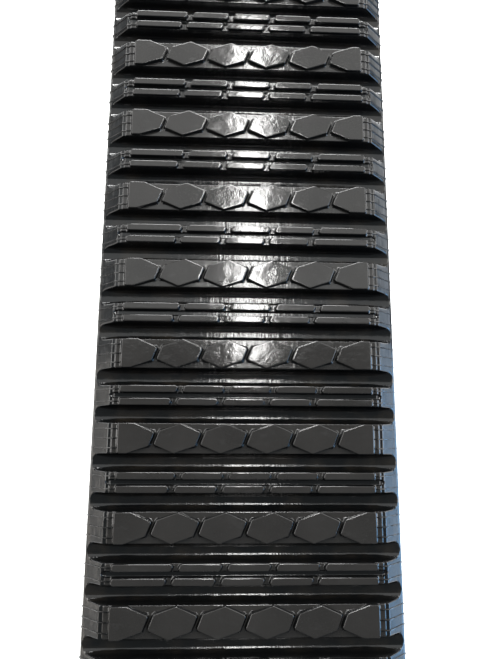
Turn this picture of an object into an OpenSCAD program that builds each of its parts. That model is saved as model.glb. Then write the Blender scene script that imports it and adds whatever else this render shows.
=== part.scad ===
// Endless rubber track for a compact track loader, standing on its tread as an oval loop.
// X runs across the belt, Y along its two straight runs and Z up. The origin is on the ground under the
// middle of the loop. Heights with a name ending in _h are measured outward from the cord line, which
// is the neutral line that the steel cords follow. Inside of the belt they are negative.

/* [Belt] */
// Width of the belt
belt_w = 320; // [300:10:400]
// Length of one link, which holds one wide and one narrow lug
pitch = 86; // [84:1:90]
// Links that bend round each end of the loop
end_links = 8; // [8]
// Links in each straight run
run_links = 16; // [16]
// Links in each section that stays rigid between two hinge lines
section_links = 4; // [4]
// Slit between two sections at their hinge line
hinge_gap = 3; // [2.8:0.1:3.2]

/* [Tread] */
// Height of the valley floor between two lugs
floor_h = 9; // [8:0.5:11]
// Rise of a lug's end plateau over the valley floor
plateau_rise = 17.5; // [14:0.5:20]
// Rise of the pads over the plateau
pad_rise = 4.5; // [3:0.5:6]
// Top width of the wide lug along the belt
wide_lug = 30; // [28:1:31]
// Top width of the narrow lug along the belt
narrow_lug = 20; // [18:1:21]
// Distance from a link's start to the middle of its wide lug
wide_at = 24; // [24]
// Distance from a link's start to the middle of its narrow lug
narrow_at = 67; // [67]
// Draft of a lug's walls, in degrees
lug_draft = 3; // [1:0.5:4]
// Radius at the foot of a lug's walls
foot_r = 6.4; // [4:0.2:6.4]
// Half width of a lug's plateau across the belt
plateau_half = 139; // [130:1:140]
// Half width across the belt where the end flank starts
flank_half = 142; // [141:1:145]
// Half width across the belt of the rows of pads
pad_half = 132; // [125:1:134]

/* [Pads] */
// Distance between the hexagon pads of a wide lug
hex_pitch = 46.5; // [45:0.5:47]
// Distance between the notches in a row of long pads
notch_pitch = 47.5; // [44:0.5:50]
// Width of a notch
notch_w = 6.3; // [5:0.1:8]
// Sideways shift of the notches in each row of the narrow lug
notch_shift = 3.2; // [0:0.1:5]
// Width of the groove between the two rows of long pads
groove_w = 6; // [4:0.5:8]

/* [Inside] */
// Depth of the belt's inner face between the guide horns
inner_h = -16; // [-17:0.5:-16]
// Depth of the two rails that the rollers run on
rail_h = -22; // [-23:0.5:-19]
// Diameter of one steel cord
cord_d = 4; // [3:0.5:4]
// Cords in each of the two bands
band_cords = 7; // [5:1:7]
// Distance between the cords of a band
cord_pitch = 8; // [6:1:8]
// Distance from the belt's middle to the innermost cord of a band
cord_from = 56; // [54:1:60]
// Thickness of the fabric ply over the cords
ply_t = 0.8; // [0.6:0.1:1]
// Length of a core bar across the belt
core_l = 220; // [200:2:230]
// Width of a core bar along the belt
core_w = 30; // [24:1:30]
// Depth of the guide horns' tips
horn_h = -56; // [-60:1:-46]
// Length of a sprocket pocket along the belt
pocket_l = 30; // [24:1:30]
// Width of a sprocket pocket across the belt
pocket_w = 52; // [40:2:56]

/* [Hidden] */
$fn = 64;
bend_r = pitch * end_links / PI;
run_l = pitch * run_links;
end_l = pitch * end_links;
section_l = pitch * section_links;
sections = 2 * (run_links + end_links) / section_links;
plateau_h = floor_h + plateau_rise;
pad_h = plateau_h + pad_rise;
axle_z = bend_r + pad_h;
edge = belt_w / 2;
ply_low = cord_d / 2 + 0.6;
ply_high = ply_low + ply_t;
ply_half = edge - 10;
cord_clear = 0.1;
band_low_h = -cord_d / 2 - cord_clear;
band_from = cord_from - cord_d / 2 - cord_clear;
band_to = cord_from + (band_cords - 1) * cord_pitch + cord_d / 2 + cord_clear;
lug_root_h = 5;
foot_steps = 5;
edge_r = 3;
edge_steps = 3;
embed = 0.5;
edge_drop = 9;
rail_in = 54;
rail_out = 106;
core_top_h = -3;
core_low_h = -14.5;
core_tip_w = 22;
horn_in = 34;
horn_out = 52;
horn_tip_in = 38;
horn_tip_out = 46;
horn_foot = 30;
horn_tip = 16;
horn_shoulder = 8;
pocket_over = 2;
strip_gap = 0.1;

// The stretches of the loop as [from, to, curved], in distance from the middle of the lower run.
STRETCHES = [
    [-run_l / 2, run_l / 2, false],
    [run_l / 2, run_l / 2 + end_l, true],
    [run_l / 2 + end_l, 1.5 * run_l + end_l, false],
    [1.5 * run_l + end_l, 1.5 * run_l + 2 * end_l, true],
    [1.5 * run_l + 2 * end_l, 2.5 * run_l + 2 * end_l, false]
];

SUBPARTS = ["tread_cover", "fabric_ply", "steel_cords", "core_bars", "wheel_side_rubber"];
function two_digits(i) = str(i < 10 ? "0" : "", i);
function node_name(part, i) = str(part, "_", two_digits(i + 1));
function shown(part, i) = node == "all" || node == node_name(part, i);
NODES = [for (part = SUBPARTS) for (i = [0 : sections - 1]) node_name(part, i)];
node = "all";

// ---- Places along the loop ----

function section_from(i) = (i - 0.5) * section_l;
function link_from(i, k) = section_from(i) + k * pitch;
function bend_angle(s) = s / bend_r * 180 / PI;

// Children stand at distance s along the cord line, with +Y along the belt and +Z out of the loop.
module at_loop(s) {
    up = s - run_l / 2;
    over = up - end_l;
    down = over - run_l;
    back = down - end_l;
    if (up < 0)
        translate([0, -s, axle_z - bend_r]) rotate([180, 0, 0]) children();
    else if (over < 0)
        translate([0, -run_l / 2, axle_z]) rotate([180 - bend_angle(up), 0, 0])
            translate([0, 0, bend_r]) children();
    else if (down < 0)
        translate([0, over - run_l / 2, axle_z + bend_r]) children();
    else if (back < 0)
        translate([0, run_l / 2, axle_z]) rotate([-bend_angle(down), 0, 0])
            translate([0, 0, bend_r]) children();
    else
        translate([0, run_l / 2 - back, axle_z - bend_r]) rotate([180, 0, 0]) children();
}

// Sweeps a flat outline, drawn as [across, height], along the belt from one distance to another. A curved
// stretch starts from its end that meets the straight run, so that the two join exactly.
module sweep(from, to) {
    for (stretch = STRETCHES)
        let (a = max(from, stretch[0]), b = min(to, stretch[1]), ahead = b < stretch[1])
            if (b > a)
                if (stretch[2])
                    at_loop(ahead ? a : b)
                        translate([0, 0, -bend_r]) rotate([ahead ? 180 : 0, -90, 0])
                            rotate_extrude(angle = -bend_angle(b - a))
                                translate([bend_r, 0]) rotate(-90) children();
                else
                    at_loop(a) translate([0, b - a, 0]) rotate([90, 0, 0])
                        linear_extrude(b - a) children();
}

module sweep_section(i) {
    sweep(section_from(i) + hinge_gap / 2, section_from(i + 1) - hinge_gap / 2) children();
}

function mirrored(points) =
    concat(points, [for (k = [len(points) - 1 : -1 : 0]) [-points[k][0], points[k][1]]]);

// ---- Tread cover ----

module tread_base_outline() {
    rounded = [for (k = [0 : edge_steps]) let (a = 90 * k / edge_steps)
        [edge - edge_r + edge_r * cos(a), floor_h - edge_r + edge_r * sin(a)]];
    polygon(mirrored(concat(
        [[ply_half, ply_high], [ply_half, ply_low], [edge, ply_low]], rounded)));
}

// Side view of a lug as [along, height], with a round foot where its walls meet the valley floor.
module lug_side(top_w) {
    wall = top_w / 2 + (plateau_rise - foot_r) * tan(lug_draft);
    foot = [for (k = [0 : foot_steps]) let (a = 90 * k / foot_steps)
        [wall + foot_r - foot_r * cos(a), floor_h + foot_r - foot_r * sin(a)]];
    polygon(mirrored(concat([[top_w / 2, plateau_h]], foot, [[wall + foot_r, lug_root_h]])));
}

module lug_front() {
    polygon(mirrored([[edge, lug_root_h], [edge, floor_h], [flank_half, plateau_h - embed],
        [plateau_half, plateau_h]]));
}

module lug(top_w) {
    intersection() {
        rotate([90, 0, 90]) linear_extrude(belt_w, center = true) lug_side(top_w);
        rotate([90, 0, 0]) linear_extrude(pitch, center = true) lug_front();
    }
}

module pad(outline) {
    translate([0, 0, plateau_h - embed]) linear_extrude(pad_rise + embed) polygon(outline);
}

HEX_SIDE = [[3.4, 15], [-18, 7.7], [-23.6, -6.3], [-3.4, -15]];

// A full hexagon is the half outline and the same turned half round.
function hex_outline(x) =
    [for (turn = [1, -1]) for (p = HEX_SIDE) [x + turn * p[0], turn * p[1]]];
function end_outline(x) =
    concat([for (p = HEX_SIDE) [x + p[0], p[1]]], [[pad_half, -wide_lug / 2], [pad_half, wide_lug / 2]]);

module wide_lug() {
    lug(wide_lug);
    for (k = [-1.5 : 1.5])
        pad(hex_outline(k * hex_pitch));
    for (turn = [0, 180])
        rotate(turn) pad(end_outline(2.5 * hex_pitch));
}

module long_pads(shift) {
    for (k = [0 : 4]) {
        left = k == 0 ? -pad_half : (k - 2.5) * notch_pitch + shift + notch_w / 2;
        right = k == 4 ? pad_half : (k - 1.5) * notch_pitch + shift - notch_w / 2;
        pad([[left, groove_w / 2], [right, groove_w / 2], [right, narrow_lug / 2], [left, narrow_lug / 2]]);
    }
}

module narrow_lug() {
    lug(narrow_lug);
    for (turn = [0, 180])
        rotate(turn) long_pads(notch_shift);
}

module tread_cover(i) {
    color("#1d1f21") {
        sweep_section(i) tread_base_outline();
        for (k = [0 : section_links - 1]) {
            at_loop(link_from(i, k) + wide_at) wide_lug();
            at_loop(link_from(i, k) + narrow_at) narrow_lug();
        }
    }
}

// ---- Carcass ----

module fabric_ply(i) {
    color("#6b5a43") sweep_section(i) translate([-ply_half, ply_low]) square([2 * ply_half, ply_t]);
}

module steel_cords(i) {
    color("#b59a5e") sweep_section(i)
        for (side = [-1, 1])
            for (k = [0 : band_cords - 1])
                translate([side * (cord_from + k * cord_pitch), 0]) circle(d = cord_d);
}

module horn() {
    intersection() {
        rotate([90, 0, 0]) linear_extrude(horn_foot, center = true)
            polygon([[horn_in, core_top_h], [horn_in, rail_h], [horn_tip_in, horn_h],
                [horn_tip_out, horn_h], [horn_out, rail_h], [horn_out, core_top_h]]);
        rotate([90, 0, 90]) linear_extrude(belt_w)
            polygon(mirrored([[horn_foot / 2, core_top_h], [horn_foot / 2, rail_h],
                [horn_tip / 2 + 3, horn_h + horn_shoulder], [horn_tip / 2, horn_h]]));
    }
}

module core_bar() {
    translate([0, 0, core_low_h]) linear_extrude(core_top_h - core_low_h)
        polygon(concat(
            mirrored([[core_l / 2, -core_tip_w / 2], [core_l / 2, core_tip_w / 2], [horn_out, core_w / 2]]),
            [[-horn_out, -core_w / 2], [horn_out, -core_w / 2]]));
    for (turn = [0, 180])
        rotate(turn) horn();
}

module core_bars(i) {
    color("#6f7275")
        for (k = [0 : section_links - 1])
            at_loop(link_from(i, k) + wide_at) core_bar();
}

// The cord bands lie in two channels that are open towards the ply.
module inner_outline() {
    polygon(mirrored([[rail_in - 4, inner_h], [rail_in, rail_h], [rail_out, rail_h],
        [rail_out + 4, inner_h], [edge - edge_drop, inner_h + edge_drop / 2],
        [edge, inner_h + edge_drop], [edge, ply_low], [band_to, ply_low], [band_to, band_low_h],
        [band_from, band_low_h], [band_from, ply_low]]));
}

// The pocket runs through the wheel-side rubber up to the ply.
module sprocket_pocket() {
    translate([0, 0, inner_h])
        cube([pocket_w, pocket_l, 2 * (ply_low + pocket_over - inner_h)], center = true);
}

// Thin joints part each moulding into its two rail strips and the webs between the pockets.
module strip_joints() {
    for (side = [-1, 1])
        translate([side * pocket_w / 2, 0, axle_z])
            cube([strip_gap, 4 * run_l, 4 * bend_r], center = true);
}

module wheel_side_rubber(i) {
    color("#141516")
        difference() {
            sweep_section(i) inner_outline();
            for (k = [0 : section_links - 1]) {
                at_loop(link_from(i, k) + wide_at) core_bar();
                at_loop(link_from(i, k) + narrow_at) sprocket_pocket();
            }
            strip_joints();
        }
}

for (i = [0 : sections - 1]) {
    if (shown("tread_cover", i)) tread_cover(i);
    if (shown("fabric_ply", i)) fabric_ply(i);
    if (shown("steel_cords", i)) steel_cords(i);
    if (shown("core_bars", i)) core_bars(i);
    if (shown("wheel_side_rubber", i)) wheel_side_rubber(i);
}
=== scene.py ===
"""Looks of the endless rubber track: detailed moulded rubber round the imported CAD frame.

The rubber is modelled once, as one link laid out flat, and then wrapped round the loop link by link. A flat
point is (across, along, height) in millimetres, with the height measured outward from the cord line.
"""

import math

import bmesh
import bpy
import numpy as np
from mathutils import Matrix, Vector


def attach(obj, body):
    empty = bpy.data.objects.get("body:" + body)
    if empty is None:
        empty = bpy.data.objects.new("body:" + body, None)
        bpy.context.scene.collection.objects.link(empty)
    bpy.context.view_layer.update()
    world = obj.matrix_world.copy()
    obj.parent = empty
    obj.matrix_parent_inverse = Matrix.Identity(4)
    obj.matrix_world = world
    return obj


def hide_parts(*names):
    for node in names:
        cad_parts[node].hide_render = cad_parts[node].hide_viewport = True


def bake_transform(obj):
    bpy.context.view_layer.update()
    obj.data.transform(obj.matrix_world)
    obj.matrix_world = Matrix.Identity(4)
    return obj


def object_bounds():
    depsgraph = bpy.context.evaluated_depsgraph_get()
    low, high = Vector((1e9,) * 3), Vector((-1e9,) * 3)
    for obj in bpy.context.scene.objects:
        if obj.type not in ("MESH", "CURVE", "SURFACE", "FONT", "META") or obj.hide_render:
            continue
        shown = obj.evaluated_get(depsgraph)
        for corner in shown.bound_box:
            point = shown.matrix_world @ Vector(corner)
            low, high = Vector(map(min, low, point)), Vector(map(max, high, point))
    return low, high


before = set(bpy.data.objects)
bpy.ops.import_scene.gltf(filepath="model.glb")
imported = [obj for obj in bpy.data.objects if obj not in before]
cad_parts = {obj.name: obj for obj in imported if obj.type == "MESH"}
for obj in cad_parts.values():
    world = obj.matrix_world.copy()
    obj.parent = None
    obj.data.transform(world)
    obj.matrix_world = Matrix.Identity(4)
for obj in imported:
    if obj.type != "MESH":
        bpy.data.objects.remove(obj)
CAD_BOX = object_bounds()

# ---- Driving dimensions, in millimetres ----

MM = 0.001
PITCH = 86.0
END_LINKS = 8
RUN_LINKS = 16
SECTION_LINKS = 4
LINKS = 2 * (RUN_LINKS + END_LINKS)
SECTIONS = LINKS // SECTION_LINKS
SECTION = SECTION_LINKS * PITCH
RUN = RUN_LINKS * PITCH
BEND_R = PITCH * END_LINKS / math.pi
EDGE = CAD_BOX[1][0] / MM

FLOOR_H = 9.0
PLATEAU_H = FLOOR_H + 17.5
PAD_H = PLATEAU_H + 4.5
AXLE_Z = BEND_R + PAD_H
LUG_DRAFT = math.tan(math.radians(3.0))
FOOT_R = 6.4
FOOT_STEPS = 7
FOOT_CORNER_R = 3.0
TOP_CORNER_R = 1.3
CORNER_RISE = 5.0
WALL_STEPS = [17.5, 20.5, 23.0]
TOP_R = 0.8
TOP_DROPS = {0.0, 0.2, 0.45}
STIFF_RISE = 8.0
PLATEAU_HALF = 135.0
END_LEDGE = [(135.5, 0.1), (135.9, 0.3), (136.1, 0.6), (136.3, 0.85), (136.7, 1.0), (137.2, 1.1),
             (139.2, 1.2), (139.8, 1.3), (140.4, 1.6), (140.9, 2.1)]
FLANK_FOOT = (157.5, FLOOR_H)
BELT_EDGE_R = 3.0
BELT_EDGE_TURNS = [math.radians(a) for a in (25, 45, 65, 90)]
PLY_LOW = 2.6
PLY_HIGH = 3.4
PLY_HALF = 150.0
PAD_HALF = 129.2
PAD_TOP_R = 0.9
PAD_DRAFT = 0.5
PAD_FOOT_R = 1.8
PAD_STEPS = 6
PAD_WALL_NEAR = 1.6
PAD_WALL_BLEND = 1.2

GROOVE_DEPTH = 2.4
GROOVE_HALF = 3.0
GROOVE_FILLET = 1.6
GROOVE_END = 137.0
HEX_PITCH = 46.5
HEX_SIDE = [(3.4, 15.0), (-18.0, 7.7), (-23.6, -6.3)]
HEX_CORNER_R = 2.2
NOTCH_PITCH = 47.5
NOTCH_W = 6.3
NOTCH_SHIFT = 3.2
LONG_CORNER_R = 2.4

INNER_H = -16.0
RAIL_H = -22.0
RAIL_FROM = 49.5
RAIL_TO = 110.5
RAIL_RAMP = 5.0
SHOULDER_FROM = 110.0
SHOULDER_TO = 151.0
SHOULDER_RISE = 4.5
SHOULDER_EDGE = 8.0
BULGE_H = 0.5
BULGE_HALF_X = 112.0
BULGE_HALF_S = 17.0
HORN_X = 43.0
COLLAR_HALF_X = 9.2
COLLAR_HALF_S = 15.2
COLLAR_CORNER_R = 2.5
POCKET_HALF_X = 26.0
POCKET_HALF_S = 15.0
POCKET_LIP_R = 2.0
BAR_AT = 24.0
POCKET_AT = 67.0
PIVOT_GAP = 0.15
PIVOT_LEAN = math.tan(math.radians(3.2))


class Lug:
    """One lug with its share of the valleys beside it: where it stands on the link and how wide it is."""

    def __init__(self, at, top_half, tile_half, ribs, grooved):
        self.at = at
        self.top_half = top_half
        self.tile_half = tile_half
        self.ribs = ribs
        self.grooved = grooved


WIDE = Lug(24.0, 15.0, 24.0, (-9.5, 0.0, 9.5), False)
NARROW = Lug(67.0, 10.0, 19.0, (-6.2, 6.2), True)


# ---- Flat shells ----


def smooth(t):
    """Rises from 0 to 1 as t does, and is level at both ends."""
    t = min(max(t, 0.0), 1.0)
    return t * t * (3 - 2 * t)


class Shell:
    """Points and faces of a flat link. A point also says how it follows the loop: bent, or stiff."""

    def __init__(self):
        self.points = []
        self.stiff = []
        self.faces = []

    def add(self, points, lug=None):
        """Adds points seen from a lug's middle, or from the link's start, and returns their numbers."""
        first = len(self.points)
        shift = lug.at if lug else 0.0
        for x, s, h in points:
            self.points.append((x, s + shift, h))
            self.stiff.append((lug.at, smooth((h - FLOOR_H) / STIFF_RISE)) if lug else (0.0, 0.0))
        return list(range(first, len(self.points)))

    def face(self, corners):
        kept = [c for i, c in enumerate(corners) if c != corners[i - 1]]
        if len(kept) > 2:
            self.faces.append(kept)

    def band(self, low, high, closed=True):
        """Faces between two rows of points that run the same way, seen from above or outside."""
        count = len(low)
        for i in range(count if closed else count - 1):
            j = (i + 1) % count
            self.face([low[i], low[j], high[j], high[i]])

    def grid(self, rows, flip=False):
        for low, high in zip(rows, rows[1:]):
            self.band(high, low, False) if flip else self.band(low, high, False)


def belt_edge_h(x):
    """Height of the valley floor across the belt, with its round edge."""
    over = abs(x) - (EDGE - BELT_EDGE_R)
    if over <= 0:
        return FLOOR_H
    return FLOOR_H - BELT_EDGE_R + math.sqrt(max(BELT_EDGE_R**2 - over**2, 0.0))


def lug_half_length(h):
    """Half length of a lug across the belt at height h, down its end's step, ledge and flank."""
    profile = [(PLATEAU_HALF, 0.0)] + END_LEDGE + [(FLANK_FOOT[0], PLATEAU_H - FLANK_FOOT[1])]
    across, drops = zip(*profile)
    return float(np.interp(PLATEAU_H - h, drops, across))


def lug_half_width(lug, h):
    """Half width of a lug along the belt at height h: round foot, drafted wall and round top edge."""
    wall_top = PLATEAU_H - TOP_R
    wall_foot = FLOOR_H + FOOT_R
    if h > wall_top:
        return lug.top_half - TOP_R + math.sqrt(max(TOP_R**2 - (h - wall_top) ** 2, 0.0))
    half = lug.top_half + (wall_top - max(h, wall_foot)) * LUG_DRAFT
    if h < wall_foot:
        half += FOOT_R - math.sqrt(max(FOOT_R**2 - (wall_foot - h) ** 2, 0.0))
    return half


def groove_drop(lug, x, s):
    """How deep the lengthwise groove of a narrow lug lies under its plateau."""
    if not lug.grooved:
        return 0.0
    inward = GROOVE_HALF - math.hypot(max(abs(x) - GROOVE_END, 0.0), s)
    flat = min(max(inward / GROOVE_FILLET, 0.0), 1.0)
    return GROOVE_DEPTH * math.sqrt(1 - (1 - flat) ** 2)


LONG_STEPS = [-1.0, -0.97, -0.75, -0.5, -0.25, 0.0, 0.25, 0.5, 0.75, 0.97, 1.0]
GROOVE_STEPS = [0.15, 0.18, 0.205, 0.235, 0.265, 0.295, 0.32, 0.335, 0.345, 0.42, 0.65, 1.0]
END_STEPS = {
    True: [-t for t in reversed(GROOVE_STEPS)] + [0.0] + GROOVE_STEPS,
    False: [-1.0, -0.5, 0.0, 0.5, 1.0],
}
SQUARE_TURNS = {0.25: (1.0, 0.5), 0.5: (1.0, 1.0), 0.75: (0.5, 1.0)}


def ring_corner(turn, radius, square):
    """A point of a ring's corner, seen from the corner's middle, between a round and a square one."""
    angle = math.radians(90.0 * turn)
    square_x, square_s = SQUARE_TURNS[turn]
    return (radius * (math.cos(angle) * (1 - square) + square_x * square),
            radius * (math.sin(angle) * (1 - square) + square_s * square))


def lug_ring(shell, lug, half_x, half_s, h, corner_r, square=0.0):
    """A closed ring round a lug, counter-clockwise from above. Its corners turn from round to square."""
    inner_x, inner_s = half_x - corner_r, half_s - corner_r
    corners = [ring_corner(turn, corner_r, square) for turn in SQUARE_TURNS]
    points = []
    for side in (1, -1):
        points += [(side * half_x, side * t * inner_s) for t in END_STEPS[lug.grooved]]
        points += [(side * (inner_x + x), side * (inner_s + s)) for x, s in corners]
        points += [(side * t * inner_x, side * half_s) for t in reversed(LONG_STEPS)]
        points += [(-side * (inner_x + x), side * (inner_s + s)) for x, s in reversed(corners)]
    top = [min(h, belt_edge_h(x)) if h <= FLOOR_H else h for x, s in points]
    return shell.add([(x, s, high - groove_drop(lug, x, s)) for (x, s), high in zip(points, top)], lug)


def end_side(ring, lug, side):
    """The points of a ring along one end of the tile, from corner to corner."""
    long_count, end_count, turns = len(LONG_STEPS), len(END_STEPS[lug.grooved]), len(SQUARE_TURNS)
    half = end_count + long_count + 2 * turns
    first = 0 if side > 0 else half
    before = [ring[(first - 1 - k) % len(ring)] for k in (1, 0)]
    return before + ring[first:first + end_count] + ring[first + end_count:first + end_count + 2]


def lug_body(shell, lug):
    foot = [FLOOR_H + FOOT_R * (1 - math.cos(math.radians(90.0 * k / FOOT_STEPS)))
            for k in range(1, FOOT_STEPS + 1)]
    drops = sorted({drop for _, drop in END_LEDGE} | TOP_DROPS, reverse=True)
    top = [PLATEAU_H - drop for drop in drops]
    tile_x = EDGE - BELT_EDGE_R + BELT_EDGE_R * math.sin(BELT_EDGE_TURNS[0])
    tile = lug_ring(shell, lug, tile_x, lug.tile_half, FLOOR_H, FOOT_CORNER_R, 1.0)
    flat_half = lug_half_width(lug, FLOOR_H)
    previous = lug_ring(shell, lug, FLANK_FOOT[0], flat_half, FLOOR_H, FOOT_CORNER_R, 1.0)
    shell.band(tile, previous)
    for h in foot + WALL_STEPS + top:
        rise = smooth((h - FLOOR_H) / CORNER_RISE)
        corner_r = FOOT_CORNER_R + (TOP_CORNER_R - FOOT_CORNER_R) * rise
        ring = lug_ring(shell, lug, lug_half_length(h), lug_half_width(lug, h), h, corner_r, 1.0 - rise)
        shell.band(previous, ring)
        previous = ring
    lug_plateau(shell, lug, previous)
    tile_skirt(shell, lug, tile)


def lug_plateau(shell, lug, rim):
    """Closes the top inside the rim: a narrow flat border, then a grid that carries the groove."""
    half_s = lug.top_half - TOP_R
    border = lug_ring(shell, lug, PLATEAU_HALF - 0.6, half_s - 0.4, PLATEAU_H, 0.8)
    shell.band(rim, border)
    half_x, half_s = PLATEAU_HALF - 1.4, half_s - 1.2
    inside = lug_ring(shell, lug, half_x, half_s, PLATEAU_H, 0.0)
    shell.band(border, inside)
    columns = []
    for t in END_STEPS[lug.grooved]:
        s = t * half_s
        columns.append(shell.add([(u * half_x, s, PLATEAU_H - groove_drop(lug, u * half_x, s))
                                  for u in LONG_STEPS], lug))
    shell.grid(columns)


def tile_skirt(shell, lug, tile):
    """The belt's round edge and side below a tile, and the tile's underside at the ply."""
    profile = [(EDGE - BELT_EDGE_R * (1 - math.sin(a)), FLOOR_H - BELT_EDGE_R * (1 - math.cos(a)))
               for a in BELT_EDGE_TURNS[1:]]
    profile += [(EDGE, PLY_HIGH), (EDGE - 0.2, PLY_LOW + 0.15), (EDGE - 0.8, PLY_LOW), (PLY_HALF, PLY_LOW),
                (PLY_HALF, PLY_HIGH)]
    under = []
    for side in (1, -1):
        previous = end_side(tile, lug, side)
        along = [shell.points[p][1] - lug.at for p in previous]
        low = -lug.tile_half * side
        along[0], along[-1] = low, -low
        for x, h in profile:
            row = shell.add([(side * x, s, h) for s in along], lug)
            shell.band(row, previous, False)
            previous = row
        under.append(previous)
    right, left = under
    shell.band(right, list(reversed(left)), False)


def round_outline(corners, radius, steps):
    """Corner arcs of a convex outline as (centre, direction) pairs, counter-clockwise."""
    arcs = []
    count = len(corners)
    for i in range(count):
        before, here, after = (np.array(corners[(i + k) % count], float) for k in (-1, 0, 1))
        into = (here - before) / np.linalg.norm(here - before)
        out = (after - here) / np.linalg.norm(after - here)
        turn = math.atan2(into[0] * out[1] - into[1] * out[0], float(into @ out))
        start = math.atan2(-into[0], into[1])
        reach = radius * math.tan(turn / 2)
        centre = here - into * reach - np.array([into[1], -into[0]]) * radius
        for k in range(steps + 1):
            a = start + turn * k / steps
            arcs.append((centre, np.array([math.cos(a), math.sin(a)])))
    return arcs


def pad(shell, lug, corners, radius, walls_to=None):
    """A raised pad. Its outline runs on down the lug's wall where it meets it, and flares elsewhere."""
    arcs = round_outline(corners, radius, 4)
    turns = [math.radians(90.0 * k / PAD_STEPS) for k in range(PAD_STEPS + 1)]
    free = [(-2.0 * PAD_TOP_R, PAD_H)]
    free += [(PAD_TOP_R * (math.sin(a) - 1), PAD_H - PAD_TOP_R * (1 - math.cos(a))) for a in turns]
    free += [(PAD_DRAFT + PAD_FOOT_R * (1 - math.cos(a)), PLATEAU_H + PAD_FOOT_R * (1 - math.sin(a)))
             for a in turns]
    free += [(PAD_DRAFT + PAD_FOOT_R + 0.2, PLATEAU_H - 0.05)]
    flush = free[:PAD_STEPS + 2] + [(0.1, PLATEAU_H - k * 0.5) for k in range(PAD_STEPS + 1)]
    flush += [(-0.8, PLATEAU_H - 3.4)]
    previous = None
    for (grow, high), (flush_grow, flush_high) in reversed(list(zip(free, flush))):
        points = []
        for centre, way in arcs:
            edge = centre + way * radius
            near = smooth((abs(edge[1]) - (lug.top_half - PAD_WALL_NEAR)) / PAD_WALL_BLEND)
            if walls_to is not None:
                near = max(near, smooth((walls_to + 0.5 - abs(edge[1])) / 0.4))
            out = radius + grow + (flush_grow - grow) * near
            x, s = centre + way * out
            points.append((x, s, high + (flush_high - high) * near))
        ring = shell.add(points, lug)
        if previous:
            shell.band(previous, ring)
        previous = ring
    shell.face(previous)


def half_turned(points, turn):
    return [(turn * x, turn * s) for x, s in points]


def wide_pads(shell):
    for k in range(4):
        x = (k - 1.5) * HEX_PITCH
        outline = [(x + turn * p[0], turn * p[1]) for turn in (1, -1) for p in HEX_SIDE]
        pad(shell, WIDE, outline, HEX_CORNER_R)
    x = 2.5 * HEX_PITCH
    end = [(x + p[0], p[1]) for p in HEX_SIDE]
    end += [(x - HEX_SIDE[0][0], -HEX_SIDE[0][1]), (PAD_HALF, -15.0), (PAD_HALF, 15.0)]
    for turn in (1, -1):
        pad(shell, WIDE, half_turned(end, turn), HEX_CORNER_R)


def narrow_pads(shell):
    """Two rows of long pads. Their notches slant across the lug, in line with each other."""
    low, high = GROOVE_HALF, NARROW.top_half

    def notch_x(k, s):
        return (k - 2.5) * NOTCH_PITCH + NOTCH_SHIFT * 2 * s / (low + high)

    for k in range(5):
        left = [-PAD_HALF if k == 0 else notch_x(k, s) + NOTCH_W / 2 for s in (low, high)]
        right = [PAD_HALF if k == 4 else notch_x(k + 1, s) - NOTCH_W / 2 for s in (low, high)]
        outline = [(left[0], low), (right[0], low), (right[1], high), (left[1], high)]
        for turn in (1, -1):
            pad(shell, NARROW, half_turned(outline, turn), LONG_CORNER_R, GROOVE_HALF)


def rib(shell, lug, s, side):
    """A thin moulded rib from the end pad over the plateau and down the flank to the belt's edge."""
    path = [(PAD_HALF + 0.6, PLATEAU_H), (PLATEAU_HALF, PLATEAU_H), (136.8, PLATEAU_H - 0.9),
            (139.6, PLATEAU_H - 1.1), (141.3, PLATEAU_H - 2.2), (150.0, 16.1),
            (FLANK_FOOT[0] - 0.4, FLOOR_H + 0.5), (EDGE - 1.0, FLOOR_H - 0.9), (EDGE - 0.2, FLOOR_H - 2.2),
            (EDGE, FLOOR_H - 3.6), (EDGE, FLOOR_H - 5.0)]
    section = [(-0.65, -0.15), (-0.55, 0.6), (-0.25, 1.0), (0.25, 1.0), (0.55, 0.6), (0.65, -0.15)]
    rows = []
    for i, (x, h) in enumerate(path):
        before, after = path[max(i - 1, 0)], path[min(i + 1, len(path) - 1)]
        along_x, along_h = after[0] - before[0], after[1] - before[1]
        length = math.hypot(along_x, along_h)
        up_x, up_h = -along_h / length, along_x / length
        row = [(side * (x + up_x * r), s + w * side, h + up_h * r) for w, r in section]
        rows.append(shell.add(row, lug))
    shell.grid(rows, True)
    shell.face(rows[0])
    shell.face(list(reversed(rows[-1])))


def tread_link():
    shell = Shell()
    for lug in (WIDE, NARROW):
        lug_body(shell, lug)
        for s in lug.ribs:
            for side in (1, -1):
                rib(shell, lug, s, side)
    wide_pads(shell)
    narrow_pads(shell)
    return shell


# ---- Wheel side ----


def inner_h(x, s):
    """Height of the belt's wheel side: guide channel, roller rails, bar bulges and rounded pocket lips."""
    a = abs(x)
    rail = smooth((a - RAIL_FROM) / RAIL_RAMP) * smooth((RAIL_TO - a) / RAIL_RAMP)
    h = INNER_H + (RAIL_H - INNER_H) * rail
    if a > SHOULDER_FROM:
        h += SHOULDER_RISE * min((a - SHOULDER_FROM) / (SHOULDER_TO - SHOULDER_FROM), 1.0)
    if a > SHOULDER_TO:
        h += SHOULDER_RISE * min((a - SHOULDER_TO) / SHOULDER_EDGE, 1.0)
    bulge = smooth((BULGE_HALF_S - abs(s - BAR_AT)) / 3.0) * smooth((BULGE_HALF_X - a) / 4.0)
    h -= BULGE_H * bulge
    past = math.hypot(max(a - POCKET_HALF_X, 0.0), max(abs(s - POCKET_AT) - POCKET_HALF_S, 0.0))
    if past < POCKET_LIP_R:
        h += POCKET_LIP_R - math.sqrt(max(POCKET_LIP_R**2 - (POCKET_LIP_R - past) ** 2, 0.0))
    return h


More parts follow.
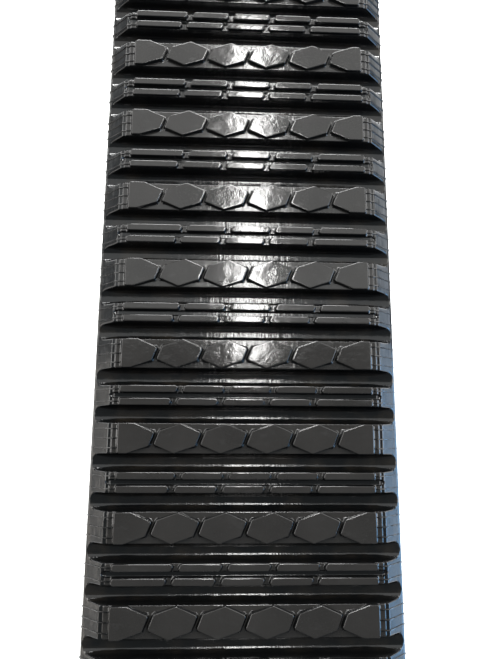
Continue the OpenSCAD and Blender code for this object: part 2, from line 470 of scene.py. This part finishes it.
# Grid lines of the wheel side, closer together where its height changes.
INNER_X = [0.0, 13.0, 26.0, 26.35, 26.9, 28.2, 33.0, 42.0, 49.5, 50.8, 52.0, 53.2, 54.5, 60.0, 80.0, 100.0,
           105.5, 106.8, 108.0, 109.2, 110.5, 125.0, 140.0, 150.5, 152.0, 155.5, 158.0]
INNER_S = [0.0, 4.0, 7.0, 8.5, 10.0, 17.0, 24.0, 31.0, 38.0, 39.5, 41.0, 45.0, 49.8, 51.1, 51.65, 52.0,
           59.5, 67.0, 74.5, 82.0, 82.35, 82.9, 84.2, 86.0]


def inner_link():
    shell = Shell()
    across = [-x for x in reversed(INNER_X[1:])] + INNER_X
    side = [(EDGE - 0.5, -6.2), (EDGE, -4.8), (EDGE, PLY_LOW - 0.7), (EDGE - 0.25, PLY_LOW - 0.2),
            (EDGE - 0.8, PLY_LOW)]
    low_rows, high_rows = [], []
    for s in INNER_S:
        left = [(-x, s, h) for x, h in reversed(side)]
        right = [(x, s, h) for x, h in side]
        low_rows.append(shell.add(left + [(x, s, inner_h(x, s)) for x in across] + right))
        high_rows.append(shell.add([(-side[-1][0], s, PLY_LOW)] * len(side)
                                   + [(x, s, PLY_LOW) for x in across]
                                   + [(side[-1][0], s, PLY_LOW)] * len(side)))
    rows = len(INNER_S)
    columns = len(low_rows[0])
    inside = [[False] * (columns - 1) for _ in range(rows - 1)]
    for j in range(rows - 1):
        for i in range(columns - 1):
            middle_x = (shell.points[low_rows[j][i]][0] + shell.points[low_rows[j][i + 1]][0]) / 2
            middle_s = (INNER_S[j] + INNER_S[j + 1]) / 2
            inside[j][i] = (abs(middle_x) < POCKET_HALF_X and abs(middle_s - POCKET_AT) < POCKET_HALF_S)
    for j in range(rows - 1):
        for i in range(columns - 1):
            low = (low_rows[j][i], low_rows[j][i + 1], low_rows[j + 1][i + 1], low_rows[j + 1][i])
            high = (high_rows[j][i], high_rows[j][i + 1], high_rows[j + 1][i + 1], high_rows[j + 1][i])
            if not inside[j][i]:
                shell.face(list(reversed(low)))
                shell.face(list(high))
                continue
            if not inside[j][i - 1]:
                shell.face([low[0], low[3], high[3], high[0]])
            if not inside[j][i + 1]:
                shell.face([low[2], low[1], high[1], high[2]])
            if not inside[j - 1][i]:
                shell.face([low[1], low[0], high[0], high[1]])
            if not inside[j + 1][i]:
                shell.face([low[3], low[2], high[2], high[3]])
    for side in (1, -1):
        horn_collar(shell, side)
    return shell


def horn_collar(shell, side):
    """The rubber that climbs a little way up the foot of a guide horn."""
    half_x, half_s = COLLAR_HALF_X, COLLAR_HALF_S
    rings = [(3.4, INNER_H + 0.3), (2.0, INNER_H - 0.9), (1.1, INNER_H - 2.0), (0.7, INNER_H - 3.4),
             (0.3, INNER_H - 4.0), (-0.8, INNER_H - 4.0)]
    corners = [(-half_x, -half_s), (half_x, -half_s), (half_x, half_s), (-half_x, half_s)]
    arcs = round_outline(corners, COLLAR_CORNER_R, 4)
    previous = None
    for grow, h in rings:
        outline = [centre + way * (COLLAR_CORNER_R + grow) for centre, way in arcs]
        ring = shell.add([(side * HORN_X + x, BAR_AT + s, h) for x, s in outline])
        if previous:
            shell.band(ring, previous)
        previous = ring


# ---- Wrapping round the loop ----


def loop_frame(s):
    """(y, z, turn) of the cord line at distance s from the middle of the lower run, in millimetres.

    The turn is the angle about X that takes the flat link, which points along Y with its height along Z.
    """
    end = PITCH * END_LINKS
    up = s - RUN / 2
    over = up - end
    down = over - RUN
    back = down - end
    turn = math.pi - (np.clip(up, 0, end) + np.clip(down, 0, end)) / BEND_R
    middle_y = np.clip(over, 0, RUN) - np.clip(s, -RUN, RUN / 2) - np.clip(back, 0, RUN)
    return middle_y - BEND_R * np.sin(turn), AXLE_Z + BEND_R * np.cos(turn), turn


def place(s, along, height):
    y, z, turn = loop_frame(s)
    return np.stack([y + np.cos(turn) * along - np.sin(turn) * height,
                     z + np.sin(turn) * along + np.cos(turn) * height], axis=-1)


def wrapped(shell, link_start):
    """World places of the shell's points for a link that starts at this distance along the loop."""
    x, s, h = np.array(shell.points).T
    lug_at, stiff = np.array(shell.stiff).T
    bent = place(link_start + s, 0.0, h)
    rigid = place(link_start + lug_at, s - lug_at, h)
    return np.column_stack([x, bent + (rigid - bent) * stiff[:, None]]) * MM


def rubber_piece(name, shell, first_link, count, material):
    """Links joined into one closed mesh. Its belt attribute keeps flat places for the materials."""
    starts = [(k - SECTION_LINKS / 2) * PITCH for k in range(first_link, first_link + count)]
    flat = np.array(shell.points)
    places = np.concatenate([wrapped(shell, start) for start in starts])
    belt = np.concatenate([flat + (0.0, start, 0.0) for start in starts]) * MM
    faces = [[c + k * len(flat) for c in face] for k in range(count) for face in shell.faces]
    mesh = bpy.data.meshes.new(name)
    mesh.from_pydata(places.tolist(), [], faces)
    mesh.attributes.new("belt", "FLOAT_VECTOR", "POINT").data.foreach_set("vector", belt.ravel())
    bm = bmesh.new()
    bm.from_mesh(mesh)
    bmesh.ops.remove_doubles(bm, verts=bm.verts, dist=0.00002)
    bmesh.ops.holes_fill(bm, edges=[e for e in bm.edges if e.is_boundary], sides=0)
    bm.to_mesh(mesh)
    bm.free()
    mesh.shade_smooth()
    mesh.set_sharp_from_angle(angle=math.radians(38))
    mesh.materials.append(material)
    piece = bpy.data.objects.new(name, mesh)
    bpy.context.scene.collection.objects.link(piece)
    return piece


def lean_back(piece, at, way):
    """Leans the end face at the open pivot back on the wheel side, where the two ends close up."""
    mesh = piece.data
    for point, flat in zip(mesh.vertices, mesh.attributes["belt"].data):
        if abs(flat.vector.y - at * MM) < 0.00001:
            point.co.y += way * (PIVOT_GAP * MM + max(-flat.vector.z, 0.0) * PIVOT_LEAN)


def rubber_pieces(kind, shell, cad_kind, material):
    """Pieces that each reach from the middle of one section to that of the next, and bend in between.

    The two half pieces at the open pivot each ride on their own section, with room between them.
    """
    half = SECTION_LINKS // 2
    for i in range(SECTIONS + 1):
        ends = i in (0, SECTIONS)
        first = 0 if i == 0 else i * SECTION_LINKS - half
        piece = rubber_piece(f"{kind}_{i:02d}", shell, first, half if ends else SECTION_LINKS, material)
        body = f"section_{max(i, 1):02d}"
        if ends:
            lean_back(piece, (i - 0.5) * SECTION, 1 if i else -1)
            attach(piece, body)
        else:
            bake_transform(piece)
        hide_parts(f"{cad_kind}_{max(i, 1):02d}")


# ---- Materials ----


class Nodes:
    """A small helper that adds and links shader nodes."""

    def __init__(self, name):
        self.material = bpy.data.materials.new(name)
        self.material.use_nodes = True
        self.tree = self.material.node_tree
        self.shader = self.tree.nodes["Principled BSDF"]

    def add(self, kind, inputs=None, **settings):
        node = self.tree.nodes.new(kind)
        for key, value in settings.items():
            setattr(node, key, value)
        for key, value in (inputs or {}).items():
            if isinstance(value, bpy.types.NodeSocket):
                self.tree.links.new(value, node.inputs[key])
            else:
                node.inputs[key].default_value = value
        return node

    def link(self, output, key):
        self.tree.links.new(output, self.shader.inputs[key])

    def belt(self, scale=(1.0, 1.0, 1.0)):
        place = self.add("ShaderNodeAttribute", attribute_name="belt")
        return self.add("ShaderNodeMapping", {"Vector": place.outputs["Vector"], "Scale": scale}).outputs[0]

    def height(self):
        place = self.add("ShaderNodeAttribute", attribute_name="belt")
        return self.add("ShaderNodeSeparateXYZ", {0: place.outputs["Vector"]}).outputs["Z"]

    def noise(self, vector, scale, detail=3.0, roughness=0.55):
        return self.add("ShaderNodeTexNoise", {"Vector": vector, "Scale": scale, "Detail": detail,
                                               "Roughness": roughness}).outputs["Fac"]

    def spread(self, value, low, high, to_low=0.0, to_high=1.0):
        return self.add("ShaderNodeMapRange", {"Value": value, "From Min": low, "From Max": high,
                                               "To Min": to_low, "To Max": to_high}).outputs["Result"]

    def mix(self, factor, a, b):
        node = self.add("ShaderNodeMix", data_type="RGBA")
        for key, value in ((0, factor), (6, a), (7, b)):
            if isinstance(value, bpy.types.NodeSocket):
                self.tree.links.new(value, node.inputs[key])
            else:
                node.inputs[key].default_value = value
        return node.outputs[2]

    def math(self, operation, a, b=0.0):
        return self.add("ShaderNodeMath", {0: a, 1: b}, operation=operation).outputs[0]


def rgb(r, g, b):
    return (r, g, b, 1.0)


def tread_material():
    """Glossy moulded rubber in the valleys, with dust and a painted reflection near their floors; satin and
    lightly scuffed on the pads' tops.
    """
    n = Nodes("moulded_tread_rubber")
    height = n.height()
    place = n.belt()
    top = n.spread(height, (PAD_H - 0.5) * MM, (PAD_H - 0.1) * MM)
    plateau = n.math("MULTIPLY", n.spread(height, (PLATEAU_H - 0.3) * MM, (PLATEAU_H - 0.1) * MM),
                     n.spread(height, (PLATEAU_H + 0.3) * MM, (PLATEAU_H + 0.1) * MM))
    low = n.spread(height, (FLOOR_H + 6.0) * MM, FLOOR_H * MM)
    cloud = n.noise(place, 18.0, 4.0)
    fine = n.noise(place, 900.0, 2.0)
    grit = n.spread(n.noise(place, 1500.0, 1.0), 0.66, 0.74)
    scuff = n.spread(n.noise(n.belt((12.0, 26.0, 20.0)), 4.0, 6.0, 0.7), 0.56, 0.74)
    # Lighter brown patches near the valley floors: partly dust, partly a painted reflection that stands in
    # for the lamp's glint along the lugs' feet.
    dust_and_sheen = n.math("MULTIPLY", n.spread(n.noise(place, 40.0, 4.0), 0.45, 0.7), low)
    black = n.mix(cloud, rgb(0.0024, 0.0028, 0.0032), rgb(0.0044, 0.0044, 0.0044))
    # The valley black with the dust and painted reflection laid over it.
    dusty_and_sheened = n.mix(dust_and_sheen, black, rgb(0.014, 0.0115, 0.009))
    top_tone = n.mix(n.spread(cloud, 0.3, 0.7), rgb(0.0140, 0.0130, 0.0121), rgb(0.0195, 0.0182, 0.0170))
    scuffed = n.mix(n.math("MULTIPLY", scuff, 0.45), top_tone, rgb(0.030, 0.0293, 0.0287))
    speckled = n.mix(n.math("MULTIPLY", grit, 0.35), scuffed, rgb(0.045, 0.045, 0.045))
    n.link(n.mix(n.math("MAXIMUM", top, plateau), dusty_and_sheened, speckled), "Base Color")
    valley_rough = n.spread(n.noise(place, 60.0, 4.0), 0.3, 0.7, 0.10, 0.16)
    pad_rough = n.math("ADD", n.spread(fine, 0.3, 0.7, 0.07, 0.12), n.math("MULTIPLY", scuff, 0.12))
    rough = n.add("ShaderNodeMix", data_type="FLOAT")
    n.tree.links.new(top, rough.inputs[0])
    n.tree.links.new(valley_rough, rough.inputs[2])
    n.tree.links.new(pad_rough, rough.inputs[3])
    n.link(rough.outputs[0], "Roughness")
    wave = n.math("MULTIPLY", n.noise(place, 70.0, 3.0), 1.2)
    comb = n.noise(n.belt((1.0, 0.08, 0.08)), 500.0, 2.0)
    pebble = n.math("MULTIPLY", n.noise(place, 640.0, 2.0), 0.2)
    valley = n.math("SUBTRACT", 1.0, top)
    pads_skin = n.math("MULTIPLY", pebble, top)
    valley_skin = n.math("MULTIPLY", n.math("MULTIPLY", comb, valley), 0.5)
    grain = n.math("ADD", n.math("ADD", pads_skin, valley_skin), wave)
    bump = n.add("ShaderNodeBump", {"Strength": 0.35, "Distance": 0.0006, "Height": grain})
    n.link(bump.outputs[0], "Normal")
    n.shader.inputs["IOR"].default_value = 1.52
    return n.material


def inner_material():
    """Wheel-side rubber: satin, polished along the roller rails and dusty in between."""
    n = Nodes("moulded_inner_rubber")
    height = n.height()
    place = n.belt()
    rail = n.spread(height, (RAIL_H + 1.5) * MM, (RAIL_H + 0.2) * MM)
    cloud = n.noise(place, 25.0, 4.0)
    streak = n.spread(n.noise(n.belt((60.0, 3.0, 20.0)), 5.0, 4.0), 0.5, 0.75)
    black = n.mix(cloud, rgb(0.010, 0.010, 0.011), rgb(0.022, 0.021, 0.020))
    worn = n.mix(n.math("MULTIPLY", n.math("MULTIPLY", streak, rail), 0.6), black, rgb(0.055, 0.054, 0.052))
    n.link(worn, "Base Color")
    wear = n.math("ADD", cloud, n.math("MULTIPLY", streak, 0.4))
    n.link(n.spread(wear, 0.3, 1.1, 0.36, 0.58), "Roughness")
    grain = n.noise(place, 500.0, 4.0)
    bump = n.add("ShaderNodeBump", {"Strength": 0.4, "Distance": 0.0005, "Height": grain})
    n.link(bump.outputs[0], "Normal")
    return n.material


def ply_material():
    """Rubberised fabric: a bias weave of two crossing sets of threads."""
    n = Nodes("rubberised_weave")
    place = n.add("ShaderNodeTexCoord").outputs["Object"]
    threads = []
    for turn in (math.pi / 4, -math.pi / 4):
        turned = n.add("ShaderNodeMapping", {"Vector": place, "Rotation": (0.0, 0.0, turn)}).outputs[0]
        threads.append(n.add("ShaderNodeTexWave", {"Vector": turned, "Scale": 260.0, "Distortion": 0.4},
                             wave_profile="SIN").outputs["Fac"])
    weave = n.math("MAXIMUM", *threads)
    n.link(n.mix(weave, rgb(0.03, 0.026, 0.02), rgb(0.20, 0.16, 0.11)), "Base Color")
    n.link(n.spread(n.noise(place, 80.0), 0.3, 0.7, 0.6, 0.85), "Roughness")
    bump = n.add("ShaderNodeBump", {"Strength": 0.5, "Distance": 0.0004, "Height": weave})
    n.link(bump.outputs[0], "Normal")
    return n.material


def cord_material():
    """Brass-plated steel cord, with the twist of its strands."""
    n = Nodes("brass_plated_cord")
    place = n.add("ShaderNodeTexCoord").outputs["Object"]
    twist = n.add("ShaderNodeTexWave", {"Vector": place, "Scale": 300.0, "Distortion": 0.6},
                  bands_direction="DIAGONAL").outputs["Fac"]
    n.link(n.mix(twist, rgb(0.30, 0.22, 0.11), rgb(0.66, 0.52, 0.30)), "Base Color")
    n.link(n.spread(n.noise(place, 200.0), 0.3, 0.7, 0.25, 0.4), "Roughness")
    bump = n.add("ShaderNodeBump", {"Strength": 0.6, "Distance": 0.0004, "Height": twist})
    n.link(bump.outputs[0], "Normal")
    n.shader.inputs["Metallic"].default_value = 1.0
    return n.material


def bar_material():
    """Forged core bar: dark scale with brighter rubbed patches and a little rust."""
    n = Nodes("forged_steel")
    place = n.add("ShaderNodeTexCoord").outputs["Object"]
    patch = n.spread(n.noise(place, 45.0, 5.0, 0.6), 0.42, 0.68)
    rust = n.spread(n.noise(place, 90.0, 4.0, 0.6), 0.58, 0.72)
    scale = n.mix(patch, rgb(0.045, 0.045, 0.047), rgb(0.16, 0.16, 0.165))
    n.link(n.mix(n.math("MULTIPLY", rust, 0.5), scale, rgb(0.12, 0.055, 0.03)), "Base Color")
    n.link(n.spread(patch, 0.0, 1.0, 0.62, 0.38), "Roughness")
    grain = n.noise(place, 260.0, 5.0)
    bump = n.add("ShaderNodeBump", {"Strength": 0.5, "Distance": 0.0006, "Height": grain})
    n.link(bump.outputs[0], "Normal")
    n.shader.inputs["Metallic"].default_value = 0.85
    return n.material


def floor_material():
    n = Nodes("pale_floor")
    place = n.add("ShaderNodeTexCoord").outputs["Object"]
    n.link(n.mix(n.noise(place, 3.0), rgb(0.90, 0.90, 0.90), rgb(0.94, 0.94, 0.94)), "Base Color")
    n.shader.inputs["Roughness"].default_value = 0.9
    n.shader.inputs["Specular IOR Level"].default_value = 0.1
    return n.material


# ---- Studio ----


def floor():
    mesh = bpy.data.meshes.new("floor")
    size = 12.0
    mesh.from_pydata([(-size, -size, 0), (size, -size, 0), (size, size, 0), (-size, size, 0)], [],
                     [(0, 1, 2, 3)])
    mesh.materials.append(floor_material())
    obj = bpy.data.objects.new("floor", mesh)
    bpy.context.scene.collection.objects.link(obj)


def area_light(name, place, size, radiance, colour, aim):
    """A soft panel at a place that faces the aim. Its power follows from its size and brightness."""
    data = bpy.data.lights.new(name, "AREA")
    data.shape = "RECTANGLE"
    data.size, data.size_y = size
    data.energy = radiance * math.pi * size[0] * size[1]
    data.color = colour
    light = bpy.data.objects.new(name, data)
    light.location = place
    way = np.array(aim, float) - np.array(place, float)
    turn = math.atan2(way[1], way[0])
    light.rotation_euler = (math.acos(-way[2] / np.linalg.norm(way)), 0.0, turn - math.pi / 2)
    light.visible_camera = False
    bpy.context.scene.collection.objects.link(light)
    return light


def ceiling_world():
    """A dim room: light from overhead fades towards the horizon."""
    world = bpy.data.worlds.new("studio")
    world.use_nodes = True
    tree = world.node_tree
    way = tree.nodes.new("ShaderNodeTexCoord")
    split = tree.nodes.new("ShaderNodeSeparateXYZ")
    ramp = tree.nodes.new("ShaderNodeValToRGB")
    tree.links.new(way.outputs["Generated"], split.inputs[0])
    tree.links.new(split.outputs["Z"], ramp.inputs["Fac"])
    tree.links.new(ramp.outputs["Color"], tree.nodes["Background"].inputs["Color"])
    low, high = ramp.color_ramp.elements
    low.position, low.color = 0.2, rgb(0.14, 0.15, 0.17)
    high.position, high.color = 0.6, rgb(0.19, 0.21, 0.22)
    bpy.context.scene.world = world


def studio():
    ceiling_world()
    strip = area_light("strip", (0.078, 0.85, 2.0), (0.07, 1.46), 55.0, (1.0, 0.99, 0.97), (0.078, 0.85, 0))
    strip.rotation_euler = (0, 0, 0)
    ceiling = area_light("ceiling", (0.0, 1.41, 2.02), (2.6, 2.38), 1.0, (0.98, 1.0, 1.0), (0.0, 1.41, 0))
    ceiling.rotation_euler = (0, 0, 0)
    for side in (1, -1):
        area_light(f"high_panel_{side + 1}", (1.9 * side, 1.4, 1.8), (3.8, 1.2), 6.0, (1.0, 0.99, 0.97),
                   (0.0, 1.4, 0.5))
    area_light("far_window", (0.03, 2.2, 0.92), (1.3, 1.06), 26.0, (1.0, 1.0, 1.0), (0.03, 0, 0.92))
    area_light("window", (3.0, -0.7, 0.9), (2.0, 1.5), 9.0, (0.30, 0.60, 1.0), (0, -0.7, 0.5))
    area_light("wall", (-3.0, -0.7, 0.9), (2.0, 1.5), 2.2, (1.0, 0.94, 0.87), (0, -0.7, 0.5))
    for side in (1, -1):
        wash = area_light(f"floor_wash_{side + 1}", (0.85 * side, 0.0, 0.44), (1.2, 3.2), 1.3,
                          (1.0, 0.98, 0.95), (0.85 * side, 0.0, 0.0))
        wash.rotation_euler = (0, 0, 0)
    bpy.context.scene.view_settings.view_transform = "Standard"


def camera():
    """Above the near end of the upper run, looking down along it, a little tilted to one side."""
    data = bpy.data.cameras.new("camera")
    data.lens = 30.59
    data.sensor_width = 36.0
    obj = bpy.data.objects.new("camera", data)
    obj.location = (-0.0256, -0.1400, 1.0728)
    obj.rotation_euler = [math.radians(a) for a in (10.228, -2.567, 0.316)]
    bpy.context.scene.collection.objects.link(obj)
    bpy.context.scene.camera = obj


# ---- The track ----

rubber_pieces("tread", tread_link(), "tread_cover", tread_material())
rubber_pieces("wheel_side", inner_link(), "wheel_side_rubber", inner_material())
CAD_LOOKS = {"fabric_ply": ply_material(), "steel_cords": cord_material(), "core_bars": bar_material()}
for node_name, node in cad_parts.items():
    for kind, material in CAD_LOOKS.items():
        if node_name.startswith(kind):
            node.data.materials.clear()
            node.data.materials.append(material)

floor()
studio()
camera()
